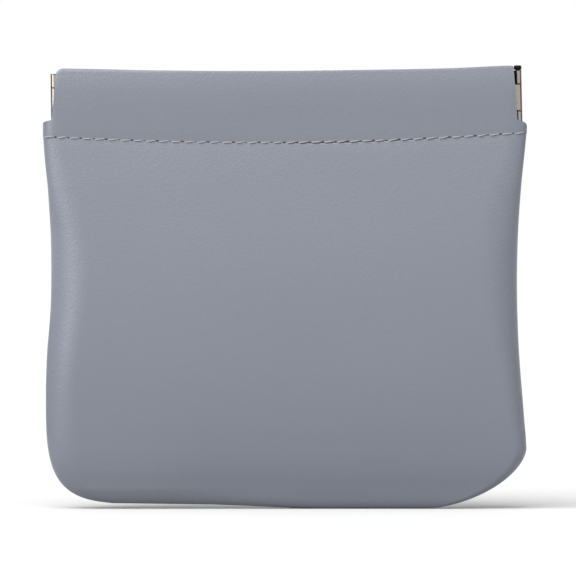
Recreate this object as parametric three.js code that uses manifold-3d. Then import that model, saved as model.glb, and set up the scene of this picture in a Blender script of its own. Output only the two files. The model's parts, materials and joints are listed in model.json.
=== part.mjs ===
import * as THREE from 'three';
import { mergeVertices } from 'three/addons/utils/BufferGeometryUtils.js';
import Module from 'manifold-3d';

// Cosmetic pouch with a squeeze-open spring frame, standing on its bottom seam.
// Millimetres, +Z up, front towards -Y.

// Driving sizes of the leather body
const POUCH_WIDTH = 99;
const BODY_HEIGHT = 75;
const BODY_DEPTH = 15;
const LEATHER = 0.8;
const EDGE_DEPTH = 1.1;
const SHOULDER_RISE = 4;
const SHOULDER_WIDTH = 1.8;
const SHOULDER_OVERLAP = 2.5;
const BASE_HALF_DEPTH = 3.2;
const SEAM_ALLOWANCE = 4.5;
const SEAM_INSET = 1.6;

// Driving sizes of the spring frame
const FRAME_INSET = 1.9;
const FRAME_SHIFT = 0.25;
const STRIP_HEIGHT = 10;
const STRIP_THICKNESS = 0.35;
const STRIP_CAMBER = 0.6;
const KNUCKLE_RADIUS = 1.0;
const PIN_RADIUS = 0.5;
const PIN_PLAY = 0.1;
const PIN_HEAD_RADIUS = 0.8;
const PIN_HEAD_HEIGHT = 1.0;
const TAB_LAP = 1;
const OUTER_KNUCKLE = 2.6;
const LOWER_KNUCKLE = 1.7;

// Fit between pieces
const GAP = 0.3;
const MOUTH_GAP = 0.2;

// Heights and spans that follow from these sizes
const SHOULDER_HEIGHT = BODY_HEIGHT + SHOULDER_RISE;
const STRIP_BOTTOM = SHOULDER_HEIGHT + GAP;
const PIN_HALF_SPAN = POUCH_WIDTH / 2 - FRAME_INSET;

// Depths of the casing layers, measured from the mouth plane
const FACING_INNER = MOUTH_GAP;
const FACING_OUTER = FACING_INNER + LEATHER;
const STRIP_INNER = FACING_OUTER + GAP;
const STRIP_OUTER = STRIP_INNER + STRIP_CAMBER + STRIP_THICKNESS;
const CASING_INNER = STRIP_OUTER + GAP;
const CASING_OUTER = CASING_INNER + LEATHER;
const STRIP_TOP = STRIP_BOTTOM + STRIP_HEIGHT;
const KNUCKLE_BORE = PIN_RADIUS + PIN_PLAY;
const CASING_BOTTOM = BODY_HEIGHT + GAP;
const CASING_TOP = STRIP_TOP + GAP + LEATHER;
const HEM_OUTER = CASING_OUTER + 0.4;
const HEM_INNER = HEM_OUTER - 2 * LEATHER;

const wasm = await Module();
wasm.setup();

// Closed mesh from plain points and triangles
function meshFrom(points, faces) {
  const geometry = new THREE.BufferGeometry();
  geometry.setAttribute('position', new THREE.Float32BufferAttribute(points.flat(), 3));
  geometry.setIndex(faces.flat());
  return geometry;
}

function toManifold(geometry) {
  const plain = geometry.clone();
  plain.deleteAttribute('normal');
  plain.deleteAttribute('uv');
  const merged = mergeVertices(plain, 1e-4);
  const vertProperties = new Float32Array(merged.attributes.position.array);
  const triVerts = new Uint32Array(merged.index.array);
  return new wasm.Manifold(new wasm.Mesh({ numProp: 3, vertProperties, triVerts }));
}

function fromManifold(solid) {
  const mesh = solid.getMesh();
  const geometry = new THREE.BufferGeometry();
  geometry.setAttribute('position', new THREE.Float32BufferAttribute(mesh.vertProperties, 3));
  geometry.setIndex(Array.from(mesh.triVerts));
  return geometry;
}

function joined(...geometries) {
  return fromManifold(geometries.map(toManifold).reduce((a, b) => a.add(b)));
}

function without(geometry, ...cutters) {
  return fromManifold(cutters.map(toManifold).reduce((a, b) => a.subtract(b), toManifold(geometry)));
}

// Straight solid from a flat outline with holes: place(a, b, c) gives the point for outline a, b at depth c
function prism(outline, holes, from, to, place) {
  const contour = outline.map(([a, b]) => new THREE.Vector2(a, b));
  const inner = holes.map((hole) => hole.map(([a, b]) => new THREE.Vector2(a, b)));
  if (THREE.ShapeUtils.isClockWise(contour)) contour.reverse();
  inner.forEach((hole) => {
    if (!THREE.ShapeUtils.isClockWise(hole)) hole.reverse();
  });
  const flat = THREE.ShapeUtils.triangulateShape(contour, inner);
  const all = [contour, ...inner].flat();
  const points = [from, to].flatMap((c) => all.map((v) => place(v.x, v.y, c)));
  const n = all.length;
  const faces = [];
  flat.forEach(([i, j, k]) => {
    faces.push([k, j, i]);
    faces.push([i + n, j + n, k + n]);
  });
  let start = 0;
  [contour, ...inner].forEach((loop) => {
    loop.forEach((_, i) => {
      const a = start + i;
      const b = start + ((i + 1) % loop.length);
      faces.push([a, b, b + n]);
      faces.push([a, b + n, a + n]);
    });
    start += loop.length;
  });
  const geometry = meshFrom(points, faces);
  return facingOut(geometry);
}

// Turns every face round if the solid came out inside out
function facingOut(geometry) {
  const p = geometry.attributes.position.array;
  const index = geometry.index.array;
  let volume = 0;
  for (let t = 0; t < index.length; t += 3) {
    const [a, b, c] = [0, 1, 2].map((k) => new THREE.Vector3().fromArray(p, 3 * index[t + k]));
    volume += a.dot(b.cross(c));
  }
  if (volume < 0) {
    const turned = Array.from(index);
    for (let t = 0; t < turned.length; t += 3) [turned[t], turned[t + 1]] = [turned[t + 1], turned[t]];
    geometry.setIndex(turned);
  }
  return geometry;
}

// Closed skin through equal rings of points, with flat ends
function loft(rings) {
  const n = rings[0].length;
  const points = rings.flat();
  const faces = [];
  for (let r = 0; r + 1 < rings.length; r += 1) {
    for (let i = 0; i < n; i += 1) {
      const a = r * n + i;
      const b = r * n + ((i + 1) % n);
      faces.push([a, b, b + n]);
      faces.push([a, b + n, a + n]);
    }
  }
  const half = n / 2;
  [0, (rings.length - 1) * n].forEach((base, end) => {
    for (let i = 0; i + 1 < half; i += 1) {
      const quad = [base + i, base + i + 1, base + n - 2 - i, base + n - 1 - i];
      const order = end === 0 ? [quad[2], quad[1], quad[0], quad[3], quad[2], quad[0]]
        : [quad[0], quad[1], quad[2], quad[0], quad[2], quad[3]];
      faces.push(order.slice(0, 3));
      faces.push(order.slice(3));
    }
  });
  return facingOut(meshFrom(points, faces));
}

// Shape of the body from the bottom seam to the casing: each row gives
// the height share, the left and right edge shares of the half width, the depth share and the section's squareness
const BODY_ROWS = [
  [0.0, -0.62, 0.6, 0.52, 6],
  [0.012, -0.76, 0.7, 0.57, 5],
  [0.03, -0.84, 0.775, 0.62, 4.6],
  [0.06, -0.912, 0.868, 0.69, 4.4],
  [0.095, -0.95, 0.94, 0.75, 4.4],
  [0.14, -0.972, 0.982, 0.81, 4.4],
  [0.2, -0.987, 0.995, 0.87, 4.5],
  [0.3, -0.988, 0.984, 0.945, 4.6],
  [0.42, -0.98, 0.968, 1.0, 4.8],
  [0.55, -0.969, 0.96, 0.97, 5],
  [0.68, -0.968, 0.961, 0.9, 5.4],
  [0.8, -0.972, 0.968, 0.79, 6],
  [0.88, -0.981, 0.977, 0.69, 7],
  [0.94, -0.989, 0.986, 0.605, 8.5],
  [1.0, -0.996, 0.996, 0.52, 10],
];

function rowAt(share) {
  let k = 0;
  while (k < BODY_ROWS.length - 2 && BODY_ROWS[k + 1][0] < share) k += 1;
  const [a, b] = [BODY_ROWS[k], BODY_ROWS[k + 1]];
  const t = (share - a[0]) / (b[0] - a[0]);
  return a.map((value, i) => value + (b[i] - value) * t);
}

// Depth of the body's outer face at a share u across a row
function depthAcross(row, u) {
  const full = row[3] * BODY_DEPTH / 2;
  const round = Math.sqrt(Math.max(0, 1 - Math.abs(u) ** row[4]));
  return EDGE_DEPTH + (full - EDGE_DEPTH) * round;
}

function edgesOf(row) {
  return [row[1] * POUCH_WIDTH / 2, row[2] * POUCH_WIDTH / 2];
}

const COLUMNS = 30;
const ROW_STEPS = 2;
const PANEL_BOTTOM = 0.2;

// One leather panel: a shell that bellies out from the mouth plane, with the two shoulders at the top of its side edges
function panelGeometry() {
  const shares = [];
  for (let k = 0; k + 1 < BODY_ROWS.length; k += 1) {
    for (let s = 0; s < ROW_STEPS; s += 1) {
      shares.push(BODY_ROWS[k][0] + (BODY_ROWS[k + 1][0] - BODY_ROWS[k][0]) * s / ROW_STEPS);
    }
  }
  shares.push(1);
  const outer = [];
  const inner = [];
  shares.forEach((share) => {
    const row = rowAt(share);
    const [left, right] = edgesOf(row);
    const z = PANEL_BOTTOM + share * (BODY_HEIGHT - PANEL_BOTTOM);
    for (let i = 0; i <= COLUMNS; i += 1) {
      const u = Math.sin((i / COLUMNS - 0.5) * Math.PI);
      const x = (left + right) / 2 + u * (right - left) / 2;
      const depth = depthAcross(row, u);
      outer.push([x, -depth, z]);
      inner.push([x, -Math.max(depth - LEATHER * 1.1, MOUTH_GAP), z]);
    }
  });
  const width = COLUMNS + 1;
  const rows = shares.length;
  const count = width * rows;
  const faces = [];
  const quad = (a, b, c, d) => {
    faces.push([a, b, c]);
    faces.push([a, c, d]);
  };
  for (let r = 0; r + 1 < rows; r += 1) {
    for (let i = 0; i < COLUMNS; i += 1) {
      const a = r * width + i;
      quad(a, a + 1, a + 1 + width, a + width);
      quad(a + count, a + width + count, a + 1 + width + count, a + 1 + count);
    }
    const left = r * width;
    const right = left + COLUMNS;
    quad(left, left + width, left + width + count, left + count);
    quad(right, right + count, right + width + count, right + width);
  }
  const top = (rows - 1) * width;
  for (let i = 0; i < COLUMNS; i += 1) {
    quad(i, i + count, i + 1 + count, i + 1);
    quad(top + i, top + i + 1, top + i + 1 + count, top + i + count);
  }
  const shell = facingOut(meshFrom([...outer, ...inner], faces));
  return joined(shell, shoulderGeometry(-1), shoulderGeometry(1));
}

// The top end of a side seam, standing beside the casing
function shoulderGeometry(side) {
  const edge = Math.abs(edgesOf(rowAt(1))[side < 0 ? 0 : 1]) + 0.1;
  const inside = edge - SHOULDER_WIDTH;
  const foot = BODY_HEIGHT - SHOULDER_OVERLAP;
  const corner = 0.9;
  const outline = [[inside, foot], [edge - 0.25, foot], [edge, SHOULDER_HEIGHT - corner]];
  for (let k = 1; k <= 4; k += 1) {
    const a = k * Math.PI / 8;
    outline.push([edge - corner + corner * Math.cos(a), SHOULDER_HEIGHT - corner + corner * Math.sin(a)]);
  }
  outline.push([inside, SHOULDER_HEIGHT]);
  const place = (x, z, depth) => [side * x, -depth, z];
  return prism(outline, [], MOUTH_GAP, MOUTH_GAP + LEATHER * 1.1, place);
}

// Bottom of the bag: the turned-in edges of both panels, a flat floor with the seam allowance standing on it
function bottomSeamGeometry() {
  const row = BODY_ROWS[0];
  const [left, right] = edgesOf(row);
  const outline = [];
  const steps = 16;
  const reach = 0.97;
  for (let i = 0; i <= steps; i += 1) {
    const u = reach * Math.sin((i / steps - 0.5) * Math.PI);
    const depth = Math.min(BASE_HALF_DEPTH, depthAcross(row, u) - LEATHER * 1.1 - GAP);
    outline.push([(left + right) / 2 + u * (right - left) / 2, -depth]);
  }
  const mirrored = outline.map(([x, y]) => [x, -y]).reverse();
  const floor = prism([...outline, ...mirrored], [], 0, LEATHER, (x, y, z) => [x, y, z]);
  const inset = 4;
  const fin = prism(
    [[left + inset, -LEATHER], [right - inset, -LEATHER], [right - inset, LEATHER], [left + inset, LEATHER]],
    [], LEATHER / 2, LEATHER + SEAM_ALLOWANCE, (x, y, z) => [x, y, z],
  );
  return joined(floor, fin);
}

// Side seam allowance: both panels' turned-in edges, sewn together and lying inside the bag
function sideSeamGeometry(side) {
  const from = LEATHER + SEAM_ALLOWANCE + GAP;
  const to = BODY_HEIGHT - 1;
  const steps = 18;
  const outline = [];
  const back = [];
  for (let i = 0; i <= steps; i += 1) {
    const z = from + (to - from) * i / steps;
    const edge = Math.abs(edgesOf(rowAt(z / BODY_HEIGHT))[side < 0 ? 0 : 1]);
    const near = edge - SEAM_INSET;
    outline.push([side * near, z]);
    back.push([side * (near - SEAM_ALLOWANCE), z]);
  }
  return prism([...outline, ...back.reverse()], [], -LEATHER, LEATHER, (x, z, y) => [x, y, z]);
}

// Left half of the front spring strip: a cambered leaf, flattened at the hinge, with rolled knuckles in the given height bands
function stripGeometry(bands) {
  const pin = -PIN_HALF_SPAN;
  const flatEnd = pin + 2 * KNUCKLE_RADIUS;
  const stations = [[flatEnd, 0], [flatEnd + 3.6, 0.1], [flatEnd + 7.6, 0.55], [flatEnd + 12.6, 1], [-GAP / 2, 1]];
  const across = 8;
  const rings = stations.map(([x, share]) => {
    const outer = [];
    const inner = [];
    for (let i = 0; i <= across; i += 1) {
      const v = 2 * i / across - 1;
      const z = STRIP_BOTTOM + STRIP_HEIGHT * i / across;
      const depth = STRIP_INNER + share * STRIP_CAMBER * (1 - v * v);
      inner.push([x, -depth, z]);
      outer.push([x, -depth - STRIP_THICKNESS, z]);
    }
    return [...outer, ...inner.reverse()];
  });
  const leaf = loft(rings);
  const knuckles = bands.map(([low, high]) => prism(knuckleOutline(pin), [], low, high, (x, y, z) => [x, y, z]));
  return joined(leaf, ...knuckles);
}

// Seen from above: a tab off the strip, rolled round the pin
function knuckleOutline(pin) {
  const reach = pin + 2 * KNUCKLE_RADIUS + TAB_LAP;
  const sink = 0.03;
  const outline = [[reach, -(STRIP_INNER + STRIP_THICKNESS - sink)], [pin, -KNUCKLE_RADIUS]];
  const steps = 18;
  const sweep = 1.4 * Math.PI;
  for (let i = 1; i <= steps; i += 1) {
    const a = -Math.PI / 2 - sweep * i / steps;
    outline.push([pin + KNUCKLE_RADIUS * Math.cos(a), KNUCKLE_RADIUS * Math.sin(a)]);
  }
  for (let i = steps; i >= 0; i -= 1) {
    const a = -Math.PI / 2 - sweep * i / steps;
    outline.push([pin + KNUCKLE_BORE * Math.cos(a), KNUCKLE_BORE * Math.sin(a)]);
  }
  outline.push([reach, -(STRIP_INNER + sink)]);
  return outline;
}

// Half of the front casing: the panel's top edge folded over the strip and sewn down, open at both ends
function casingGeometry() {
  const radius = (CASING_OUTER - FACING_INNER) / 2;
  const middle = (CASING_OUTER + FACING_INNER) / 2;
  const shoulder = CASING_TOP - radius;
  const waist = STRIP_BOTTOM - 1;
  const outline = [[-HEM_INNER, CASING_BOTTOM], [-HEM_OUTER, CASING_BOTTOM], [-CASING_OUTER, waist]];
  const hole = [[-(FACING_OUTER + CASING_INNER) / 2, CASING_BOTTOM + 2], [-CASING_INNER, waist + 0.4]];
  const steps = 10;
  const inside = radius - LEATHER;
  for (let i = 0; i <= steps; i += 1) {
    const a = Math.PI - Math.PI * i / steps;
    outline.push([-middle + radius * Math.cos(a), shoulder + radius * Math.sin(a)]);
    hole.push([-middle + inside * Math.cos(a), shoulder + (STRIP_TOP + GAP - shoulder) * Math.sin(a)]);
  }
  outline.push([-FACING_INNER, waist]);
  hole.push([-FACING_OUTER, waist + 0.4]);
  const end = -PIN_HALF_SPAN + 0.85;
  const sleeve = prism(outline, [hole], end, -GAP / 2, (y, z, x) => [x, y, z]);
  const notchEnd = -PIN_HALF_SPAN + 2 * KNUCKLE_RADIUS + TAB_LAP + GAP;
  const notch = [[0.5, CASING_BOTTOM - 1], [-CASING_INNER, CASING_BOTTOM - 1],
    [-CASING_INNER, CASING_TOP + 1], [0.5, CASING_TOP + 1]];
  const relief = prism(notch, [], end - 1, notchEnd, (y, z, x) => [x, y, z]);
  return without(sleeve, relief);
}

// Round pin through the knuckles, turned from a closed profile
function pinGeometry(low, high, headRadius, headHeight) {
  const profile = [new THREE.Vector2(0, low), new THREE.Vector2(PIN_RADIUS - 0.1, low)];
  profile.push(new THREE.Vector2(PIN_RADIUS, low + 0.1));
  profile.push(new THREE.Vector2(PIN_RADIUS, high));
  if (headHeight > 0) {
    profile.push(new THREE.Vector2(headRadius, high));
    profile.push(new THREE.Vector2(headRadius, high + headHeight * 0.6));
    profile.push(new THREE.Vector2(headRadius * 0.7, high + headHeight * 0.92));
  }
  profile.push(new THREE.Vector2(0, high + headHeight));
  const turned = new THREE.LatheGeometry(profile, 20);
  turned.rotateX(Math.PI / 2);
  turned.deleteAttribute('normal');
  turned.deleteAttribute('uv');
  return facingOut(cleaned(mergeVertices(turned, 1e-4)));
}

// Drops faces that lost their area when vertices were merged
function cleaned(geometry) {
  const index = geometry.index.array;
  const kept = [];
  for (let t = 0; t < index.length; t += 3) {
    const [a, b, c] = [index[t], index[t + 1], index[t + 2]];
    if (a !== b && b !== c && c !== a) kept.push(a, b, c);
  }
  geometry.setIndex(kept);
  return geometry;
}

// Materials
const leather = new THREE.MeshStandardMaterial({ color: 0x8f96a3, roughness: 0.55 });
const spring = new THREE.MeshStandardMaterial({ color: 0xb9b2a6, roughness: 0.3, metalness: 1 });
const blackened = new THREE.MeshStandardMaterial({ color: 0x101010, roughness: 0.35, metalness: 0.6 });

const group = new THREE.Group();

// Adds a named piece to a holder, which may mirror it
function place(name, geometry, material, holder) {
  const mesh = new THREE.Mesh(geometry, material);
  mesh.name = name;
  holder.add(mesh);
}

// Leather body
const rear = new THREE.Group();
rear.scale.y = -1;
group.add(rear);
const panel = panelGeometry();
place('front_panel', panel, leather, group);
place('rear_panel', panel.clone(), leather, rear);
place('bottom_seam', bottomSeamGeometry(), leather, group);
place('left_side_seam', sideSeamGeometry(-1), leather, group);
place('right_side_seam', sideSeamGeometry(1), leather, group);

// Knuckle bands: the front strip has the outer pair at both ends, the rear strip the middle one
const upperBand = [STRIP_TOP - OUTER_KNUCKLE, STRIP_TOP];
const lowerBand = [STRIP_BOTTOM, STRIP_BOTTOM + LOWER_KNUCKLE];
const middleBand = [lowerBand[1] + GAP, upperBand[0] - GAP];

// Spring frame and the casings that hold it
const frame = new THREE.Group();
frame.position.x = FRAME_SHIFT;
group.add(frame);
[['front', 1, [upperBand, lowerBand]], ['rear', -1, [middleBand]]].forEach(([face, ySign, bands]) => {
  [['left', 1], ['right', -1]].forEach(([end, xSign]) => {
    const holder = new THREE.Group();
    holder.scale.set(xSign, ySign, 1);
    frame.add(holder);
    place(`${face}_strip_${end}`, stripGeometry(bands), spring, holder);
    place(`${face}_casing_${end}`, casingGeometry(), leather, holder);
  });
});

// Hinge pins: the left one riveted flush, the right one dropped in from above with a head
const leftPin = new THREE.Group();
leftPin.position.x = -PIN_HALF_SPAN;
frame.add(leftPin);
place('left_hinge_pin', pinGeometry(STRIP_BOTTOM - 0.05, STRIP_TOP + 0.05, 0, 0), spring, leftPin);
const rightPin = new THREE.Group();
rightPin.position.x = PIN_HALF_SPAN;
frame.add(rightPin);
const headSeat = STRIP_TOP + 0.15;
place('right_hinge_pin', pinGeometry(STRIP_BOTTOM - 0.05, headSeat, PIN_HEAD_RADIUS, PIN_HEAD_HEIGHT), blackened, rightPin);

export default group;
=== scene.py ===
import json
import math

import bpy
import numpy as np
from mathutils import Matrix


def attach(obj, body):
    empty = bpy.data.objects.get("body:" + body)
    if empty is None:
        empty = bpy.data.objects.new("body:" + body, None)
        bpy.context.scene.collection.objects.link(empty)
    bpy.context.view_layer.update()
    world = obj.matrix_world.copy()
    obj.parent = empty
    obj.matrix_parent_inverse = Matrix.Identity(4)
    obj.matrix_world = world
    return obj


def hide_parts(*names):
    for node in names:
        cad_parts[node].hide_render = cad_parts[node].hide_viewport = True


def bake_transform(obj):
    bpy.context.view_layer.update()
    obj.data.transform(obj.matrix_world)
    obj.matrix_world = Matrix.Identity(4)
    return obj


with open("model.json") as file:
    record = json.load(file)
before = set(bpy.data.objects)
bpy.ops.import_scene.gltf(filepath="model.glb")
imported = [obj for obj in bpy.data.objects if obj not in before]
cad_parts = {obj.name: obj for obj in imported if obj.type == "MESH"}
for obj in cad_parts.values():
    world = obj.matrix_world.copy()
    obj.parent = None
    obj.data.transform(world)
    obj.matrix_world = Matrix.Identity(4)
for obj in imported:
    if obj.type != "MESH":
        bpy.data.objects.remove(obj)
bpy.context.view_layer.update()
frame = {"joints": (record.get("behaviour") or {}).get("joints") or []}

# Studio: a plain pale floor in a white room, one very broad soft light high on the left and a small round
# one close by on the left. Dark cards by the hinges and grey ones by the lower sides show in reflections
# only. The camera stands far off, straight in front and level with the middle.
mm = 0.001
floor_colour = (0.46, 0.46, 0.46, 1.0)
floor_size = 30.0
floor_shine = 0.1
matt_roughness = 0.9
room_colour = (1.0, 1.0, 1.0, 1.0)
room_strength = 1.0
key_from = (-0.32, -0.51, 0.80)
key_aim = (0, 0, 0)
key_strength = 4.95
key_spread = math.radians(60)
side_from = (-0.227, -0.168, 0.106)
side_aim = (-0.047, 0, 0.049)
side_power = 0.157
side_size = 0.16
card_distance = 0.085
card_turn = (0, math.radians(90), 0)
hinge_card = {"back": 0, "level": 0.085, "width": 0.034, "height": 0.018, "shade": 0.01}
edge_card = {"back": 0.035, "level": 0.025, "width": 0.09, "height": 0.04, "shade": 0.5}
photo_width = 118.1 * mm
camera_distance = 1.2
camera_right = 0.64 * mm
camera_height = 45.2 * mm
camera_level = (math.radians(90), 0, 0)
sensor_width = 36.0
nearest_seen = 0.05
farthest_seen = 100.0


def start_paint(name):
    paint = bpy.data.materials.new(name)
    paint.use_nodes = True
    return paint


def shader_of(paint):
    return paint.node_tree.nodes["Principled BSDF"]


def hang_lamp(lamp, place, aim):
    holder = bpy.data.objects.new(lamp.name, lamp)
    bpy.context.scene.collection.objects.link(holder)
    holder.location = place
    back = [place[axis] - aim[axis] for axis in range(3)]
    tilt = math.atan2(math.hypot(back[0], back[1]), back[2])
    holder.rotation_euler = (tilt, 0, math.atan2(back[0], -back[1]))
    holder.visible_camera = False


def stand_card(side, card):
    place = (side * card_distance, card["back"], card["level"])
    bpy.ops.object.select_all(action="DESELECT")
    bpy.ops.mesh.primitive_plane_add(size=1, location=place, rotation=card_turn)
    plane = bpy.context.object
    plane.name = "studio_card"
    plane.scale = (card["height"], card["width"], 1)
    paint = start_paint("card_paint")
    shader = shader_of(paint)
    shader.inputs["Base Color"].default_value = (card["shade"], card["shade"], card["shade"], 1)
    shader.inputs["Roughness"].default_value = matt_roughness
    plane.data.materials.append(paint)
    plane.visible_camera = False
    plane.visible_diffuse = False
    plane.visible_shadow = False


bpy.ops.object.select_all(action="DESELECT")
bpy.ops.mesh.primitive_plane_add(size=floor_size, location=(0, 0, 0))
floor = bpy.context.object
floor.name = "studio_floor"
floor_paint = start_paint("floor_paint")
floor_shader = shader_of(floor_paint)
floor_shader.inputs["Base Color"].default_value = floor_colour
floor_shader.inputs["Roughness"].default_value = matt_roughness
floor_shader.inputs["Specular IOR Level"].default_value = floor_shine
floor.data.materials.append(floor_paint)

white_room = bpy.data.worlds.new("white_room")
white_room.use_nodes = True
room_light = white_room.node_tree.nodes["Background"]
room_light.inputs["Color"].default_value = room_colour
room_light.inputs["Strength"].default_value = room_strength
bpy.context.scene.world = white_room

key_lamp = bpy.data.lights.new("key_light", "SUN")
key_lamp.energy = key_strength
key_lamp.angle = key_spread
hang_lamp(key_lamp, key_from, key_aim)

side_lamp = bpy.data.lights.new("side_light", "AREA")
side_lamp.shape = "DISK"
side_lamp.size = side_size
side_lamp.energy = side_power
hang_lamp(side_lamp, side_from, side_aim)

for card_side in (-1, 1):
    stand_card(card_side, hinge_card)
    stand_card(card_side, edge_card)

eye = bpy.data.cameras.new("photo_camera")
eye.sensor_width = sensor_width
eye.lens = sensor_width * camera_distance / photo_width
eye.clip_start = nearest_seen
eye.clip_end = farthest_seen
camera = bpy.data.objects.new("photo_camera", eye)
bpy.context.scene.collection.objects.link(camera)
camera.location = (camera_right, -camera_distance, camera_height)
camera.rotation_euler = camera_level
bpy.context.scene.camera = camera
bpy.context.scene.view_settings.view_transform = "Standard"

# Front and rear panels: two pieces of smooth coated leather cut alike, sewn face to face down both
# sides and along the bottom, then turned right side out, so the seam lies in a crease at the edge.
# The pouch keeps a soft belly, flatter towards the mouth, and its bottom corners have slumped unevenly.
leather_wall = 0.8
half_width = 49.5
seam_crease = 0.8
crease_turn = 0.35
meeting_gap = 0.01
panel_columns = 236
lip_rows = 3
corner_rows = 36
side_rows = 96
tuck_rows = 6
climb_ease = 1.35
flat_share = 0.70
lip_share = 0.96
left_corner = {"middle": (-17.8, 24.8), "reach": (31.18, 23.9), "square": (5.8, 3.9)}
right_corner = {"middle": (28.7, 12.4), "reach": (20.8, 12.4), "square": (1.7, 1.7)}
corner_spread = 0.7
corner_gather = 1.5
left_edge_heights = (24.8, 28, 32, 37, 42, 49, 56, 61, 66, 71, 76.2)
left_edge_places = (-48.98, -48.89, -48.72, -48.3, -47.96, -47.87, -47.97, -48.25, -48.57, -49.1, -49.5)
right_edge_heights = (12.4, 14.5, 17, 22, 27, 32, 38, 44, 51, 57, 63, 68, 72, 77)
right_edge_places = (49.5, 49.38, 49.16, 48.76, 48.34, 47.98, 47.71, 47.57,
                     47.61, 47.79, 48.15, 48.57, 49.0, 49.5)
left_bottom = 0.9
slump_start = -17.0
slump_end = 8.0
belly_heights = (0, 0.4, 1.2, 2.6, 4.4, 6.9, 8.7, 11.2, 13, 16, 20, 25, 30, 35,
                 40, 45, 50, 55, 60, 64, 68, 72, 77)
belly_depths = (0.8, 1.4, 1.98, 2.52, 3.12, 3.98, 4.47, 5.04, 5.37, 5.87, 6.36, 6.8, 7.03, 7.1,
                7.05, 6.9, 6.62, 6.23, 5.76, 5.36, 4.95, 4.52, 3.95)
neck_depth = belly_depths[-1]
belly_crown = 0.3
left_fill = 0.85
left_fill_height = 12.0
left_fill_start = -5.0
left_fill_run = 25.0
fill_settle = 3.0
round_heights = (0, 16, 26, 38, 51, 61, 69, 77)
left_rounds = (5.5, 6.2, 6.4, 7.2, 8.0, 6.6, 5.4, 3.0)
right_rounds = (2.4, 3.4, 5.0, 7.2, 9.0, 8.2, 5.6, 4.2)
round_limit = 0.36
left_square = 2.0
right_square = 2.6
left_press = (57.0, 66.0)
right_press = (50.0, 68.0)
left_pressed = 0.35
right_pressed = 0.2
pressed_square = 6
slow_waves = ((13.0, 21.0, 0.6), (19.0, -15.0, 2.1))
slow_swell = 0.05
quick_across = 6.1
quick_sway = 1.3
quick_sway_height = 9.0
quick_up = 7.3
quick_start = 0.4
quick_swell = 0.025
wave_settle = 8.0
bottom_settle = 4.0
stitch_line_left = 76.2
stitch_line_right = 77.0
stitch_line_sag = 1.65
sag_ease = 4
stitch_pitch = 2.6
stitch_valley = 0.035
valley_reach = 1.1
valley_beat = 0.22
tuck_step = 0.95
tuck_gap = 0.05
tuck_narrow = 0.9
tuck_edge = 1.0
tuck_middle = 3.2
wall_smooth = math.radians(60)
joints = {joint["name"]: joint for joint in frame["joints"]}
left_pin = joints["mouth_open"]["pos_m"][0] / mm
fold_x = joints["front_bow"]["pos_m"][0] / mm
right_pin = 2 * fold_x - left_pin
open_turn = math.radians(joints["mouth_open"]["range_deg"][1])
lean_turn = math.radians(joints["front_wall_lean"]["range_deg"][1])
lean_height = joints["front_wall_lean"]["pos_m"][2] / mm
end_slide = joints["left_end_squeeze"]["range_m"][1] / mm
end_ease = 0.01
hem_samples = 200
leather_finish = {
    "colours": ((0.1113, 0.1225, 0.149, 1), (0.1195, 0.1287, 0.1552, 1)),
    "roughness": (0.3, 0.38),
    "grain": 0.34,
    "relief": 0.036,
}
backing_finish = {
    "colours": ((0.20, 0.215, 0.245, 1), (0.23, 0.24, 0.265, 1)),
    "roughness": (0.85, 0.95),
    "grain": 0.5,
    "relief": 0.12,
}
tone_scale = 34.0
tone_detail = 4.0
crease_scale = 0.45
crease_detail = 5.0
crease_weight = 1.7
bent_grain = 1.4
grain_strength = 0.5


def soft_step(t):
    return t * t * (3 - 2 * t)


def smooth_curve(at, keys, values):
    keys = np.asarray(keys, float)
    values = np.asarray(values, float)
    slopes = np.gradient(values, keys)
    at = np.clip(at, keys[0], keys[-1])
    low = np.clip(np.searchsorted(keys, at) - 1, 0, len(keys) - 2)
    span = keys[low + 1] - keys[low]
    t = (at - keys[low]) / span
    start = values[low] * (1 + 2 * t) * (1 - t) ** 2 + slopes[low] * span * t * (1 - t) ** 2
    stop = values[low + 1] * t * t * (3 - 2 * t) + slopes[low + 1] * span * t * t * (t - 1)
    return start + stop


def stitch_sag(x):
    return stitch_line_sag * (1 - np.clip(np.asarray(x, float) / half_width, -1, 1) ** 2)


def stitch_height(x):
    across = np.clip(np.asarray(x, float) / half_width, -1, 1)
    level = stitch_line_left + (stitch_line_right - stitch_line_left) * (across + 1) / 2
    return level - stitch_sag(x)


def bottom_line(x):
    t = np.clip((x - slump_start) / (slump_end - slump_start), 0, 1)
    return left_bottom * (1 - soft_step(t))


def corner_point(corner, share):
    turn = share * math.pi / 2
    out = corner["reach"][0] * np.sin(turn) ** (2 / corner["square"][0])
    up = corner["middle"][1] - corner["reach"][1] * np.cos(turn) ** (2 / corner["square"][1])
    return out, up


def edge_drop(across, share, level):
    square = np.where(across < 0, left_square, right_square)
    rounded = 1 - (1 - share ** square) ** (1 / square)
    sloped = np.where(across < 0, left_pressed, right_pressed)
    corner = 1 - (1 - share ** pressed_square) ** (1 / pressed_square)
    pressed = sloped * share ** 2 + (1 - sloped) * corner
    left_part = np.interp(level, left_press, (0, 1))
    right_part = np.interp(level, right_press, (0, 1))
    return rounded + (pressed - rounded) * np.where(across < 0, left_part, right_part)


def leather_waves(x, z):
    slow = sum(np.sin(x / wide + z / high + start) for wide, high, start in slow_waves)
    swayed = x / quick_across + quick_sway * np.sin(z / quick_sway_height)
    quick = np.sin(swayed) * np.sin(z / quick_up + quick_start)
    return slow_swell * slow + quick_swell * quick


def stitch_pucker(x, away):
    beat = np.cos(2 * math.pi * x / stitch_pitch)
    return stitch_valley * np.exp(-(away / valley_reach) ** 2) * (1 + valley_beat * beat)


def bow_share(x):
    t = np.clip((x - left_pin) / (right_pin - left_pin), 0, 1)
    past_left = np.clip(left_pin - x, 0, None)
    past_right = np.clip(x - right_pin, 0, None)
    return soft_step(t) + end_ease * (past_left - past_right)


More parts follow.
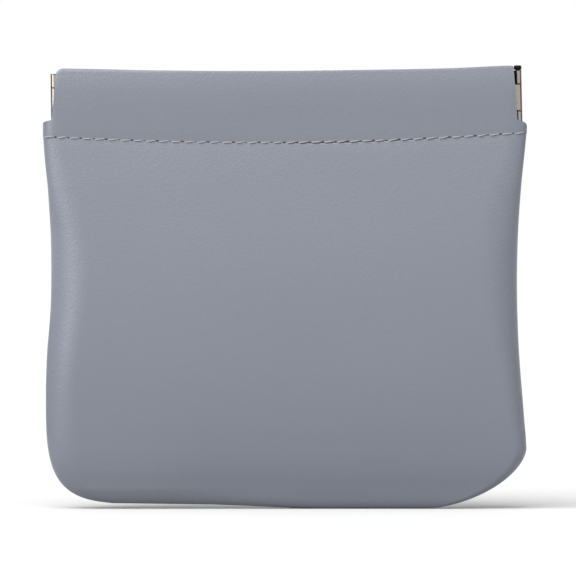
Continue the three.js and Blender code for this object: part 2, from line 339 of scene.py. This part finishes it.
def opened_hem(x, depth):
    turn = 2 * open_turn * bow_share(x)
    along = fold_x + (x - fold_x) * np.cos(turn) + depth * np.sin(turn)
    out = -(x - fold_x) * np.sin(turn) + depth * np.cos(turn)
    from_pin = along - left_pin
    far = left_pin + end_slide + from_pin * math.cos(open_turn) - out * math.sin(open_turn)
    return far, from_pin * math.sin(open_turn) + out * math.cos(open_turn)


hem_far, hem_out = opened_hem(np.linspace(left_pin, right_pin, hem_samples), neck_depth)


def lean_share(x):
    out = np.interp(x, hem_far, hem_out, left=neck_depth, right=neck_depth)
    lean = np.arcsin(np.clip((out - neck_depth) / (stitch_height(x) - lean_height), 0, 1))
    return np.clip(lean / lean_turn, 0, 1)


def read_places(piece):
    places = np.empty(len(piece.data.vertices) * 3)
    piece.data.vertices.foreach_get("co", places)
    return places.reshape(-1, 3)


def write_places(piece, places):
    piece.data.vertices.foreach_set("co", places.ravel())
    piece.data.update()


def mark_points(piece, name, values):
    marks = piece.data.attributes.new(name, "FLOAT", "POINT")
    marks.data.foreach_set("value", values.astype(np.float32))


def sheet_grid(name, columns, rows):
    bpy.ops.object.select_all(action="DESELECT")
    bpy.ops.mesh.primitive_grid_add(x_subdivisions=columns, y_subdivisions=rows, size=2)
    piece = bpy.context.object
    piece.name = name
    piece.data.name = name
    flat = read_places(piece)
    return piece, flat[:, 0], (flat[:, 1] + 1) / 2


def place_points(piece, x, depth, z, side):
    write_places(piece, np.stack([x, depth * side, z], axis=1) * mm)


def lay_sheet(piece, x, depth, z, side):
    place_points(piece, x, depth, z, side)
    if side > 0:
        bpy.ops.object.mode_set(mode="EDIT")
        bpy.ops.mesh.select_all(action="SELECT")
        bpy.ops.mesh.flip_normals()
        bpy.ops.object.mode_set(mode="OBJECT")


def give_wall(piece, wall, place=-1.0, inner_slot=0):
    thick = piece.modifiers.new("wall", "SOLIDIFY")
    thick.thickness = wall * mm
    thick.offset = place
    thick.use_even_offset = False
    thick.use_rim = True
    thick.material_offset = inner_slot
    thick.material_offset_rim = inner_slot
    bpy.ops.object.modifier_apply(modifier=thick.name)
    bpy.ops.object.shade_smooth_by_angle(angle=wall_smooth)


def object_place(paint):
    return paint.node_tree.nodes.new("ShaderNodeTexCoord").outputs["Object"]


def noise_pattern(paint, place, scale, detail):
    noise = paint.node_tree.nodes.new("ShaderNodeTexNoise")
    noise.inputs["Scale"].default_value = scale
    noise.inputs["Detail"].default_value = detail
    paint.node_tree.links.new(place, noise.inputs["Vector"])
    return noise.outputs["Fac"]


def vary_finish(paint, pattern, colours, roughness):
    nodes = paint.node_tree.nodes
    links = paint.node_tree.links
    shader = shader_of(paint)
    tint = nodes.new("ShaderNodeMix")
    tint.data_type = "RGBA"
    tint.inputs["A"].default_value = colours[0]
    tint.inputs["B"].default_value = colours[1]
    links.new(pattern, tint.inputs["Factor"])
    links.new(tint.outputs["Result"], shader.inputs["Base Color"])
    gloss = nodes.new("ShaderNodeMapRange")
    gloss.inputs["To Min"].default_value = roughness[0]
    gloss.inputs["To Max"].default_value = roughness[1]
    links.new(pattern, gloss.inputs["Value"])
    links.new(gloss.outputs["Result"], shader.inputs["Roughness"])
    return tint.outputs["Result"]


def raise_relief(paint, height, strength, depth):
    links = paint.node_tree.links
    bump = paint.node_tree.nodes.new("ShaderNodeBump")
    bump.inputs["Strength"].default_value = strength
    bump.inputs["Distance"].default_value = depth * mm
    links.new(height, bump.inputs["Height"])
    links.new(bump.outputs["Normal"], shader_of(paint).inputs["Normal"])


def grain_material(name, finish):
    paint = start_paint(name)
    nodes = paint.node_tree.nodes
    links = paint.node_tree.links
    place = object_place(paint)
    tone = noise_pattern(paint, place, tone_scale, tone_detail)
    vary_finish(paint, tone, finish["colours"], finish["roughness"])
    pores = nodes.new("ShaderNodeTexVoronoi")
    pores.inputs["Scale"].default_value = 1 / (finish["grain"] * mm)
    links.new(place, pores.inputs["Vector"])
    creases = noise_pattern(paint, place, crease_scale / (finish["grain"] * mm), crease_detail)
    grain = nodes.new("ShaderNodeMath")
    grain.operation = "MULTIPLY_ADD"
    grain.inputs[1].default_value = crease_weight
    links.new(creases, grain.inputs[0])
    links.new(pores.outputs["Distance"], grain.inputs[2])
    bent = nodes.new("ShaderNodeAttribute")
    bent.attribute_name = "bent"
    stretch = nodes.new("ShaderNodeMath")
    stretch.operation = "MULTIPLY_ADD"
    stretch.inputs[1].default_value = bent_grain
    stretch.inputs[2].default_value = 1.0
    links.new(bent.outputs["Fac"], stretch.inputs[0])
    relief = nodes.new("ShaderNodeMath")
    relief.operation = "MULTIPLY"
    links.new(grain.outputs["Value"], relief.inputs[0])
    links.new(stretch.outputs["Value"], relief.inputs[1])
    raise_relief(paint, relief.outputs["Value"], grain_strength, finish["relief"])
    return paint


leather = grain_material("blue_grey_leather", leather_finish)
backing = grain_material("leather_backing", backing_finish)


def panel_sheet(name, side):
    rows = lip_rows + corner_rows + side_rows + tuck_rows
    piece, across, up = sheet_grid(name, panel_columns, rows)
    row = up * rows
    lip = np.clip(row / lip_rows, 0, 1)
    corner = np.clip((row - lip_rows) / corner_rows, 0, 1)
    climb = np.clip((row - lip_rows - corner_rows) / side_rows, 0, 1)
    climb = 1 - (1 - climb) ** climb_ease
    tuck = np.clip((row - lip_rows - corner_rows - side_rows) / tuck_rows, 0, 1)

    rounded = 1 - (1 - corner ** corner_spread) ** corner_gather
    left_out, left_z = corner_point(left_corner, rounded)
    right_out, right_z = corner_point(right_corner, rounded)
    left_z = left_z + climb * (stitch_line_left - left_corner["middle"][1])
    right_z = right_z + climb * (stitch_line_right - right_corner["middle"][1])
    left_x = np.where(climb > 0, smooth_curve(left_z, left_edge_heights, left_edge_places),
                      left_corner["middle"][0] - left_out)
    right_x = np.where(climb > 0, smooth_curve(right_z, right_edge_heights, right_edge_places),
                       right_corner["middle"][0] + right_out)

    edge_x = np.where(across < 0, left_x, right_x)
    middle = (left_x + right_x) / 2
    half = np.abs(edge_x - middle)
    level = np.where(across < 0, left_z, right_z)
    rounds = np.where(across < 0, smooth_curve(level, round_heights, left_rounds),
                      smooth_curve(level, round_heights, right_rounds))
    rounding = np.minimum(rounds, half * round_limit)
    reach = np.abs(across)
    flat = half - rounding
    turn = np.sin(np.clip((reach - flat_share) / (lip_share - flat_share), 0, 1) * math.pi / 2)
    curl = np.clip((reach - lip_share) / (1 - lip_share), 0, 1)
    out = np.where(reach < flat_share, reach / flat_share * flat, flat + rounding * turn)
    facing = np.where(climb > 0, 1, np.sin(corner * math.pi / 2))
    out = out - crease_turn * facing * curl ** 2
    x = middle + np.sign(across) * out

    share = (x - left_x) / (right_x - left_x)
    raised = bottom_line(x)
    lifted = left_z - left_bottom + (right_z - left_z + left_bottom) * share
    top_level = stitch_line_left + (stitch_line_right - stitch_line_left) * share
    height = (lifted + raised * climb) * stitch_line_right / top_level
    z = lifted + raised - stitch_sag(x) * climb ** sag_ease
    fullness = 1 - edge_drop(across, turn, level)
    settled = np.clip(height / bottom_settle, 0, 1) * fullness

    full = smooth_curve(height, belly_heights, belly_depths)
    crown = 1 - (out / half) ** 2
    crown = belly_crown * crown * np.sin(math.pi * np.clip(height / stitch_line_right, 0, 1))
    leftward = soft_step(np.clip((left_fill_start - x) / left_fill_run, 0, 1))
    filled = left_fill * leftward * np.exp(-(height / left_fill_height) ** 2)
    full = np.maximum(full, seam_crease) + crown + filled * np.clip(height / fill_settle, 0, 1)
    depth = seam_crease + (full - seam_crease) * fullness
    away = stitch_height(x) - z
    depth = depth + leather_waves(x, z) * settled * np.clip(away / wave_settle, 0, 1)
    depth = depth - stitch_pucker(x, away) * settled
    depth = depth * (1 - curl) * lip
    tucked_up = np.maximum((1 - lip) ** 2, np.sqrt(1 - facing ** 2) * curl ** 2)
    z = z + crease_turn * tucked_up

    inside = np.clip(tuck * tuck_rows, 0, 1)
    depth = np.maximum(depth - tuck_step * inside, tuck_gap * (1 - curl) * inside)
    narrowed = np.clip((reach - flat_share) / (1 - flat_share), 0, 1)
    x = x - np.sign(x) * tuck_narrow * inside * narrowed
    z = z + tuck * (tuck_edge + tuck_middle * lean_share(x))

    lay_sheet(piece, x, depth, z, side)
    mark_points(piece, "bent", turn * (1 - curl))
    piece.data.materials.append(leather)
    piece.data.materials.append(backing)
    give_wall(piece, leather_wall, inner_slot=1)
    places = read_places(piece)
    places[:, 1] = side * np.maximum(side * places[:, 1], meeting_gap * mm)
    places[:, 2] = np.maximum(places[:, 2], bottom_line(places[:, 0] / mm) * mm)
    write_places(piece, places)
    return piece


def lean_panel(piece):
    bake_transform(piece)
    lean_share(read_places(piece)[:, 0] / mm)


front_panel = panel_sheet("front_panel_leather", -1)
lean_panel(front_panel)
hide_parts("front_panel")

rear_panel = panel_sheet("rear_panel_leather", 1)
lean_panel(rear_panel)
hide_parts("rear_panel")

# Seam allowance: inside the pouch the two cut edges of the side and bottom seams stand in as one
# doubled ribbon of leather, a few millimetres wide, pressed together by the seam.
allowance_inset = 2.2
allowance_width = 4.2
allowance_wall = 0.7
allowance_apart = 0.42
allowance_flare = 0.25
allowance_top = 74.0
allowance_steps = 150
allowance_rows = 6
left_side_end = 0.36
left_corner_end = 0.46
bottom_end = 0.54
right_corner_end = 0.64


def part_way(along, start, end):
    return np.clip((along - start) / (end - start), 0, 1)


def seam_path(along, inset):
    left_run = left_corner["middle"][1] - allowance_top
    left_z = allowance_top + left_run * part_way(along, 0, left_side_end)
    left_x = smooth_curve(left_z, left_edge_heights, left_edge_places) + inset

    left_turn = part_way(along, left_side_end, left_corner_end)
    left_out, left_up = corner_point(left_corner, 1 - left_turn)
    left_fit = (left_corner["reach"][0] - inset) / left_corner["reach"][0]
    left_corner_x = left_corner["middle"][0] - left_out * left_fit
    left_corner_z = left_up + inset * (1 - (left_up - left_bottom) / left_corner["reach"][1])

    bottom_run = right_corner["middle"][0] - left_corner["middle"][0]
    bottom_x = left_corner["middle"][0] + bottom_run * part_way(along, left_corner_end, bottom_end)
    bottom_z = bottom_line(bottom_x) + inset

    right_turn = part_way(along, bottom_end, right_corner_end)
    right_out, right_up = corner_point(right_corner, right_turn)
    right_fit = (right_corner["reach"][0] - inset) / right_corner["reach"][0]
    right_corner_x = right_corner["middle"][0] + right_out * right_fit
    right_corner_z = right_up + inset * (1 - right_up / right_corner["reach"][1])

    right_run = allowance_top - right_corner["middle"][1]
    right_z = right_corner["middle"][1] + right_run * part_way(along, right_corner_end, 1)
    right_x = smooth_curve(right_z, right_edge_heights, right_edge_places) - inset

    parts = (along < left_side_end, along < left_corner_end, along < bottom_end, along < right_corner_end)
    x = np.select(parts, (left_x, left_corner_x, bottom_x, right_corner_x), right_x)
    z = np.select(parts, (left_z, left_corner_z, bottom_z, right_corner_z), right_z)
    return x, z


def join_pieces(whole, others):
    bpy.ops.object.select_all(action="DESELECT")
    for other in others:
        other.select_set(True)
    whole.select_set(True)
    bpy.context.view_layer.objects.active = whole
    bpy.ops.object.join()


def allowance_layer(name, side):
    piece, across, up = sheet_grid(name, allowance_steps, allowance_rows)
    along = (across + 1) / 2
    x, z = seam_path(along, allowance_inset)
    inner_x, inner_z = seam_path(along, allowance_inset + allowance_width)
    x = x + (inner_x - x) * up
    z = z + (inner_z - z) * up
    depth = allowance_apart + allowance_flare * up ** 2
    lay_sheet(piece, x, depth, z, side)
    piece.data.materials.append(backing)
    give_wall(piece, allowance_wall, place=0.0)
    return piece


allowance = allowance_layer("seam_allowance", -1)
join_pieces(allowance, [allowance_layer("seam_allowance_rear", 1)])
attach(allowance, "seams")
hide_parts("bottom_seam", "left_side_seam", "right_side_seam")

# Casings: above the stitch row each panel is cut in at two shoulders, folded over to the inside and
# sewn down, which leaves a flat sleeve open at both ends for the spring strip of the frame.
casing_columns = 240
casing_rows = 120
casing_wall = 0.72
casing_height = 14.0
casing_shares = (0, 0.1, 0.25, 0.43, 0.64, 0.73, 0.8, 0.87, 0.935, 0.97, 0.985, 0.995, 1.0, 1.001, 1.0,
                 0.99, 0.965, 0.9, 0.8, 0.6, 0.42, 0.28, 0.1, -0.05, -0.2)
casing_depths = (3.95, 3.97, 3.97, 3.95, 3.88, 3.81, 3.72, 3.6, 3.46, 3.38, 3.345, 3.29, 2.96, 2.12, 1.4,
                 0.95, 0.55, 0.32, 0.24, 0.22, 0.25, 0.6, 1.6, 2.3, 2.45)
casing_steps = np.hypot(np.diff(casing_shares) * casing_height, np.diff(casing_depths))
casing_places = np.concatenate([[0], np.cumsum(casing_steps)])
fold_place = casing_places[np.argmax(casing_shares)]
casing_waves = 0.6
casing_top_places = (-47, -38, -30, -20, -9, 0, 10, 20, 30, 36, 40, 43.5, 47.5)
casing_top_heights = (90.08, 89.92, 89.75, 89.71, 89.61, 89.62, 89.73,
                      89.88, 90.07, 90.25, 90.45, 90.62, 90.77)
top_shift_places = (-48, -34, -24, -8)
front_dips = (0.18, 0.17, 0.12, 0)
rear_rises = (0.2, 0.2, 0.14, 0)
straight_share = 0.88
shoulder_start = 45.5
shoulder_reach = 3.0
top_corner_left = 0.7
top_corner_right = 0.1
left_end_heights = (60, 78.9, 79.15, 79.35, 79.5, 79.7, 83.7, 88.4, 89.5)
left_end_places = (-49.6, -49.6, -49.35, -48.65, -47.85, -47.7, -47.3, -46.88, -46.7)
right_end_heights = (60, 77.9, 78.5, 78.9, 79.2, 79.4, 79.6, 83.7, 90.0, 90.7)
right_end_places = (49.6, 49.6, 49.53, 49.3, 48.88, 48.35, 47.55, 47.25, 46.8, 46.7)
facing_left = -45.6
facing_right = 46.0
facing_turn = 3.0


def shoulder_profile(x):
    tip = np.where(x < 0, -left_end_places[0], right_end_places[0])
    turning = np.where(x < 0, left_rounds[-1], right_rounds[-1])
    share = np.clip((np.abs(x) - tip + turning) / turning, 0, 1)
    return 1 - edge_drop(x, share, stitch_line_right)


def casing_sheet(name, side):
    piece, across, up = sheet_grid(name, casing_columns, casing_rows)
    reach = np.abs(across)
    inner_x = np.sign(across) * np.minimum(reach / straight_share, 1) * shoulder_start
    ending = np.clip((reach - straight_share) / (1 - straight_share), 0, 1)
    low = stitch_height(inner_x + np.sign(across) * ending * shoulder_reach)
    top = smooth_curve(inner_x, casing_top_places, casing_top_heights)
    if side < 0:
        top = top - np.interp(inner_x, top_shift_places, front_dips)
    else:
        top = top + np.interp(inner_x, top_shift_places, rear_rises)
    top_corner = np.where(across < 0, top_corner_left, top_corner_right)
    top = top - top_corner * (1 - np.sqrt(1 - ending ** 2))
    along = up * casing_places[-1]
    z = low + (top - low) * smooth_curve(along, casing_places, casing_shares)
    left_end = np.interp(z, left_end_heights, left_end_places)
    right_end = np.interp(z, right_end_heights, right_end_places)
    end = np.where(across < 0, left_end, right_end)
    facing_end = np.where(across < 0, facing_left, facing_right)
    turned = np.clip((along - fold_place) / facing_turn, 0, 1)
    end = end + (facing_end - end) * turned
    x = inner_x + (end - inner_x) * ending

    upright = shoulder_profile(x)
    flank = seam_crease + (neck_depth - seam_crease) * upright
    outer = np.clip(along / fold_place, 0, 1)
    depth = smooth_curve(along, casing_places, casing_depths)
    depth = np.where(outer < 1, np.minimum(depth, flank), depth)
    depth = depth + casing_waves * leather_waves(x, z) * np.sin(math.pi * outer)
    pucker = stitch_pucker(x, z - low) * upright
    depth = depth - np.where(outer < 1, pucker, 0)

    lay_sheet(piece, x, depth, z, side)
    piece.data.materials.append(leather)
    piece.data.materials.append(backing)
    give_wall(piece, casing_wall, inner_slot=1)
    return piece


def bow_with_frame(piece):
    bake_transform(piece)


def ease_shoulders(piece):
    bow_share(read_places(piece)[:, 0] / mm)


front_casing = casing_sheet("front_casing_leather", -1)
bow_with_frame(front_casing)
ease_shoulders(front_casing)
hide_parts("front_casing_left", "front_casing_right")

rear_casing = casing_sheet("rear_casing_leather", 1)
bow_with_frame(rear_casing)
ease_shoulders(rear_casing)
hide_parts("rear_casing_left", "rear_casing_right")

# Spring strips: two cambered ribbons of nickelled spring steel, one in each casing. At both ends the
# steel is rolled into knuckles, two on the front strip and one between them on the rear strip.
strip_bottom = 79.3
strip_top = 89.3
strip_steel = 0.32
strip_depth = 1.75
strip_camber = 0.3
leaf_end = 45.2
leaf_columns = 120
leaf_rows = 12
frame_lift = 0.1
frame_slope = 0.0085
knuckle_middle = 0.62
knuckle_turn = math.radians(205)
knuckle_columns = 44
upper_knuckle = (86.53, 89.35)
middle_knuckle = (81.04, 86.48)
lower_knuckle = (78.85, 80.99)
tab_share = 0.4
tab_overlap = 1.6
tab_proud = 0.1
tab_bend = 0.62
right_tab_bend = 1.0
# Painted shade: rows crowd towards the ends of each knuckle, where a near-black band over the given width
# stands in for the shadow in the gaps between the knuckles.
knuckle_edge_rows = (0, 0.07, 0.15, 0.24)
painted_gap_shade_width = 0.24
left_hinge_shift = 0.12
left_hinge_slope = -0.011
right_hinge_slope = -0.022
nickel_colours = ((0.33, 0.293, 0.254, 1), (0.437, 0.396, 0.35, 1))
nickel_roughness = (0.18, 0.34)
painted_gap_shade_colour = (0.012, 0.011, 0.01, 1)
drawn_scale = (3000.0, 3000.0, 260.0)
drawn_detail = 3.0
drawn_strength = 0.2
drawn_depth = 0.01


def nickel_material():
    paint = start_paint("nickelled_steel")
    shader = shader_of(paint)
    nodes = paint.node_tree.nodes
    links = paint.node_tree.links
    shader.inputs["Metallic"].default_value = 1.0
    drawn = nodes.new("ShaderNodeMapping")
    drawn.inputs["Scale"].default_value = drawn_scale
    links.new(object_place(paint), drawn.inputs["Vector"])
    streak = noise_pattern(paint, drawn.outputs["Vector"], 1.0, drawn_detail)
    steel = vary_finish(paint, streak, nickel_colours, nickel_roughness)
    # Painted shade: the steel colour is blended towards near black at the knuckle ends, standing in for
    # the shadow in the gaps between the knuckles.
    rim = nodes.new("ShaderNodeAttribute")
    rim.attribute_name = "painted_gap_shade"
    gap_shaded_steel = nodes.new("ShaderNodeMix")
    gap_shaded_steel.data_type = "RGBA"
    gap_shaded_steel.inputs["B"].default_value = painted_gap_shade_colour
    links.new(steel, gap_shaded_steel.inputs["A"])
    links.new(rim.outputs["Fac"], gap_shaded_steel.inputs["Factor"])
    links.new(gap_shaded_steel.outputs["Result"], shader.inputs["Base Color"])
    raise_relief(paint, streak, drawn_strength, drawn_depth)
    return paint


nickel = nickel_material()


def frame_rise(x):
    return frame_lift + frame_slope * x


def hinge_lean(end, z):
    above = z - (strip_bottom + strip_top) / 2
    return left_hinge_shift + left_hinge_slope * above if end < 0 else right_hinge_slope * above


def strip_leaf(name, side):
    piece, across, up = sheet_grid(name, leaf_columns, leaf_rows)
    x = fold_x + across * leaf_end
    z = strip_bottom + (strip_top - strip_bottom) * up + frame_rise(x)
    depth = strip_depth + strip_camber * (1 - (2 * up - 1) ** 2)
    lay_sheet(piece, x, depth, z, side)
    piece.data.materials.append(nickel)
    give_wall(piece, strip_steel, place=0.0)
    return piece


def rolled_knuckle(name, side, end, band):
    height = band[1] - band[0]
    upper_rows = tuple(height - row for row in reversed(knuckle_edge_rows))
    levels = knuckle_edge_rows + (height / 2,) + upper_rows
    piece, across, up = sheet_grid(name, knuckle_columns, len(levels) - 1)
    rise = np.interp(up, np.linspace(0, 1, len(levels)), levels)
    # Painted shade: darkest at the very ends of the knuckle, fading out over the given width.
    gap_shade_amount = np.clip(1 - np.minimum(rise, height - rise) / painted_gap_shade_width, 0, 1)
    mark_points(piece, "painted_gap_shade", gap_shade_amount)
    along = (across + 1) / 2
    pin = left_pin if end < 0 else right_pin
    tab = np.clip(along / tab_share, 0, 1)
    roll = np.clip((along - tab_share) / (1 - tab_share), 0, 1) * knuckle_turn
    bend_run = right_tab_bend if side < 0 and end > 0 else tab_bend
    bend = soft_step(np.clip(tab / bend_run, 0, 1))
    curl = -knuckle_middle if side < 0 and end < 0 else knuckle_middle
    tab_x = fold_x + end * (leaf_end - tab_overlap)
    tab_depth = strip_depth + tab_proud
    x = tab_x + (pin - tab_x) * tab + end * knuckle_middle * np.sin(roll)
    depth = tab_depth - (tab_depth + curl) * bend + curl * (1 - np.cos(roll))
    z = band[0] + rise + frame_rise(x)
    x = x + hinge_lean(end, z) * tab
    lay_sheet(piece, x, depth, z, side)
    piece.data.materials.append(nickel)
    give_wall(piece, strip_steel, place=0.0)
    return piece


def turn_faces_out():
    bpy.ops.object.mode_set(mode="EDIT")
    bpy.ops.mesh.select_all(action="SELECT")
    bpy.ops.mesh.normals_make_consistent(inside=False)
    bpy.ops.object.mode_set(mode="OBJECT")


def spring_strip(name, side, bands):
    strip = strip_leaf(name, side)
    knuckles = []
    for end in (-1, 1):
        for band in bands:
            knuckles.append(rolled_knuckle(name + "_knuckle", side, end, band))
    join_pieces(strip, knuckles)
    turn_faces_out()
    return strip


front_strip = spring_strip("front_spring_strip", -1, (upper_knuckle, lower_knuckle))
bow_with_frame(front_strip)
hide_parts("front_strip_left", "front_strip_right")

rear_strip = spring_strip("rear_spring_strip", 1, (middle_knuckle,))
bow_with_frame(rear_strip)
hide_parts("rear_strip_left", "rear_strip_right")

# Hinge pins: a plain steel pin closes the left hinge in the works, and the right one is a black pin
# with a small flat head, pushed down through the knuckles once the frame is in its casings.
pin_radius = 0.38
pin_bottom = 78.75
left_pin_top = 89.4
right_pin_top = 89.6
head_radius = 0.8
head_bottom = 89.4
head_top = 90.34
pin_edge = 0.16
head_edge = 0.3
pin_sides = 32
edge_segments = 3
pin_smooth = math.radians(40)
lacquer_colours = ((0.002, 0.002, 0.003, 1), (0.008, 0.0075, 0.008, 1))
lacquer_roughness = (0.4, 0.55)
lacquer_shine = 0.08
wear_scale = 2200.0
wear_detail = 4.0


def lacquer_material():
    paint = start_paint("black_pin_lacquer")
    shader_of(paint).inputs["Specular IOR Level"].default_value = lacquer_shine
    wear = noise_pattern(paint, object_place(paint), wear_scale, wear_detail)
    vary_finish(paint, wear, lacquer_colours, lacquer_roughness)
    return paint


lacquer = lacquer_material()


def turned_pin(name, x, radius, bottom, top, edge, paint):
    bpy.ops.object.select_all(action="DESELECT")
    bpy.ops.mesh.primitive_cylinder_add(vertices=pin_sides, radius=radius * mm, depth=(top - bottom) * mm)
    piece = bpy.context.object
    piece.name = name
    piece.data.name = name
    places = read_places(piece) + np.array([x, 0, (top + bottom) / 2 + frame_rise(x)]) * mm
    places[:, 0] = places[:, 0] + hinge_lean(x, places[:, 2] / mm) * mm
    write_places(piece, places)
    round_edge = piece.modifiers.new("rounded_ends", "BEVEL")
    round_edge.width = edge * mm
    round_edge.segments = edge_segments
    bpy.ops.object.modifier_apply(modifier=round_edge.name)
    bpy.ops.object.shade_smooth_by_angle(angle=pin_smooth)
    piece.data.materials.append(paint)
    return piece


left_hinge_pin = turned_pin(
    "left_pin_steel", left_pin, pin_radius, pin_bottom, left_pin_top, pin_edge, nickel)
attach(left_hinge_pin, "left_end")
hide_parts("left_hinge_pin")

right_hinge_pin = turned_pin(
    "right_pin_black", right_pin, pin_radius, pin_bottom, right_pin_top, pin_edge, lacquer)
pin_head = turned_pin(
    "right_pin_head", right_pin, head_radius, head_bottom, head_top, head_edge, lacquer)
join_pieces(right_hinge_pin, [pin_head])
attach(right_hinge_pin, "front_right")
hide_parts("right_hinge_pin")

# Stitching: one row of pale lockstitch across each face holds the folded edge of the casing down.
# Each stitch is a short length of twisted thread between two needle holes that dimple the leather.
# The needle holes are flat near-black discs of painted shade laid just above the leather.
stitch_length = 2.05
stitch_slant = 0.12
stitch_first = -48.2
stitch_count = 38
stitch_proud = 0.1
stitch_dive = 0.32
thread_radius = 0.16
thread_sides = 10
thread_thinning = 0.55
thread_cuts = 8
first_cut = -0.9
cut_step = 0.2571
shift_wobble = (0.05, 2.4)
length_wobble = (0.03, 5.1)
slant_wobble = (0.5, 1.7)
hole_wide = 0.3
hole_high = 0.22
hole_clear = 0.02
hole_sides = 14
hole_size = 0.85
hole_wobble = (0.35, 3.3)
thread_colours = ((0.155, 0.149, 0.163, 1), (0.238, 0.226, 0.24, 1))
thread_roughness = (0.6, 0.8)
thread_sheen = 0.2
twist_lean = (0, math.radians(35), 0)
twist_scale = 900.0
twist_distortion = 1.5
twist_strength = 0.6
twist_depth = 0.05
# Painted shade: the near-black finish of the hole discs stands in for the shadow inside each needle hole.
hole_shade_finish = {
    "colours": ((0.018, 0.02, 0.026, 1), (0.03, 0.032, 0.04, 1)),
    "roughness": (0.8, 0.9),
    "grain": 0.3,
    "relief": 0.01,
}


def thread_material():
    paint = start_paint("pale_thread")
    nodes = paint.node_tree.nodes
    links = paint.node_tree.links
    shader_of(paint).inputs["Sheen Weight"].default_value = thread_sheen
    lean = nodes.new("ShaderNodeMapping")
    lean.inputs["Rotation"].default_value = twist_lean
    links.new(object_place(paint), lean.inputs["Vector"])
    twist = nodes.new("ShaderNodeTexWave")
    twist.inputs["Scale"].default_value = twist_scale
    twist.inputs["Distortion"].default_value = twist_distortion
    links.new(lean.outputs["Vector"], twist.inputs["Vector"])
    vary_finish(paint, twist.outputs["Fac"], thread_colours, thread_roughness)
    raise_relief(paint, twist.outputs["Fac"], twist_strength, twist_depth)
    return paint


thread = thread_material()
hole_shade_paint = grain_material("needle_hole_shade", hole_shade_finish)


def hand_wobble(number, wobble):
    return wobble[0] * math.sin(number * wobble[1])


def stitch_face(x):
    upright = shoulder_profile(x)
    flank = seam_crease + (neck_depth - seam_crease) * upright
    return flank - stitch_pucker(x, 0.0) * upright


def stitch_row(name, side):
    bpy.ops.object.select_all(action="DESELECT")
    bpy.ops.mesh.primitive_cylinder_add(
        vertices=thread_sides, radius=1.0, depth=2.0, rotation=(0, math.radians(90), 0))
    first = bpy.context.object
    bpy.ops.object.transform_apply(location=False, rotation=True, scale=True)
    bpy.ops.object.mode_set(mode="EDIT")
    for cut in range(thread_cuts):
        bpy.ops.mesh.select_all(action="SELECT")
        bpy.ops.mesh.bisect(plane_co=(first_cut + cut * cut_step, 0, 0), plane_no=(1, 0, 0))
    bpy.ops.object.mode_set(mode="OBJECT")
    turn_faces_out()
    shape = read_places(first)
    along = shape[:, 0]
    fat = thread_radius * np.sqrt(1 - thread_thinning * along ** 4)
    pieces = []
    for number in range(stitch_count):
        copy = first.copy()
        copy.data = first.data.copy()
        bpy.context.scene.collection.objects.link(copy)
        middle = stitch_first + number * stitch_pitch + hand_wobble(number, shift_wobble)
        x = middle + along * stitch_length * (0.5 + hand_wobble(number, length_wobble))
        slant = stitch_slant * (1 + hand_wobble(number, slant_wobble))
        z = stitch_height(x) + shape[:, 2] * fat + slant * along
        depth = stitch_face(x) + stitch_proud - stitch_dive * along ** 4 - shape[:, 1] * fat
        place_points(copy, x, depth, z, side)
        pieces.append(copy)
    bpy.data.objects.remove(first)
    row = pieces[0]
    join_pieces(row, pieces[1:])
    row.name = name
    row.data.name = name
    turn_faces_out()
    bpy.ops.object.shade_smooth()
    row.data.materials.append(thread)
    return row


# Painted shade: one flat near-black disc between each pair of stitches, in place of the shadowed needle
# hole.
def needle_hole_shades(name, side):
    holes = []
    for number in range(stitch_count - 1):
        bpy.ops.object.select_all(action="DESELECT")
        bpy.ops.mesh.primitive_circle_add(vertices=hole_sides, radius=1.0, fill_type="TRIFAN")
        hole = bpy.context.object
        disc = read_places(hole)
        middle = stitch_first + (number + 0.5) * stitch_pitch + hand_wobble(number, shift_wobble)
        size = hole_size + hand_wobble(number, hole_wobble)
        x = middle + disc[:, 0] * hole_wide * size
        z = stitch_height(x) + disc[:, 1] * hole_high * size
        lay_sheet(hole, x, stitch_face(x) + hole_clear, z, side)
        holes.append(hole)
    row = holes[0]
    join_pieces(row, holes[1:])
    row.name = name
    row.data.name = name
    row.data.materials.append(hole_shade_paint)
    return row


front_stitching = stitch_row("front_stitching", -1)
bow_with_frame(front_stitching)
ease_shoulders(front_stitching)

rear_stitching = stitch_row("rear_stitching", 1)
bow_with_frame(rear_stitching)
ease_shoulders(rear_stitching)

front_holes = needle_hole_shades("front_needle_hole_shades", -1)
bow_with_frame(front_holes)
ease_shoulders(front_holes)

rear_holes = needle_hole_shades("rear_needle_hole_shades", 1)
bow_with_frame(rear_holes)
ease_shoulders(rear_holes)
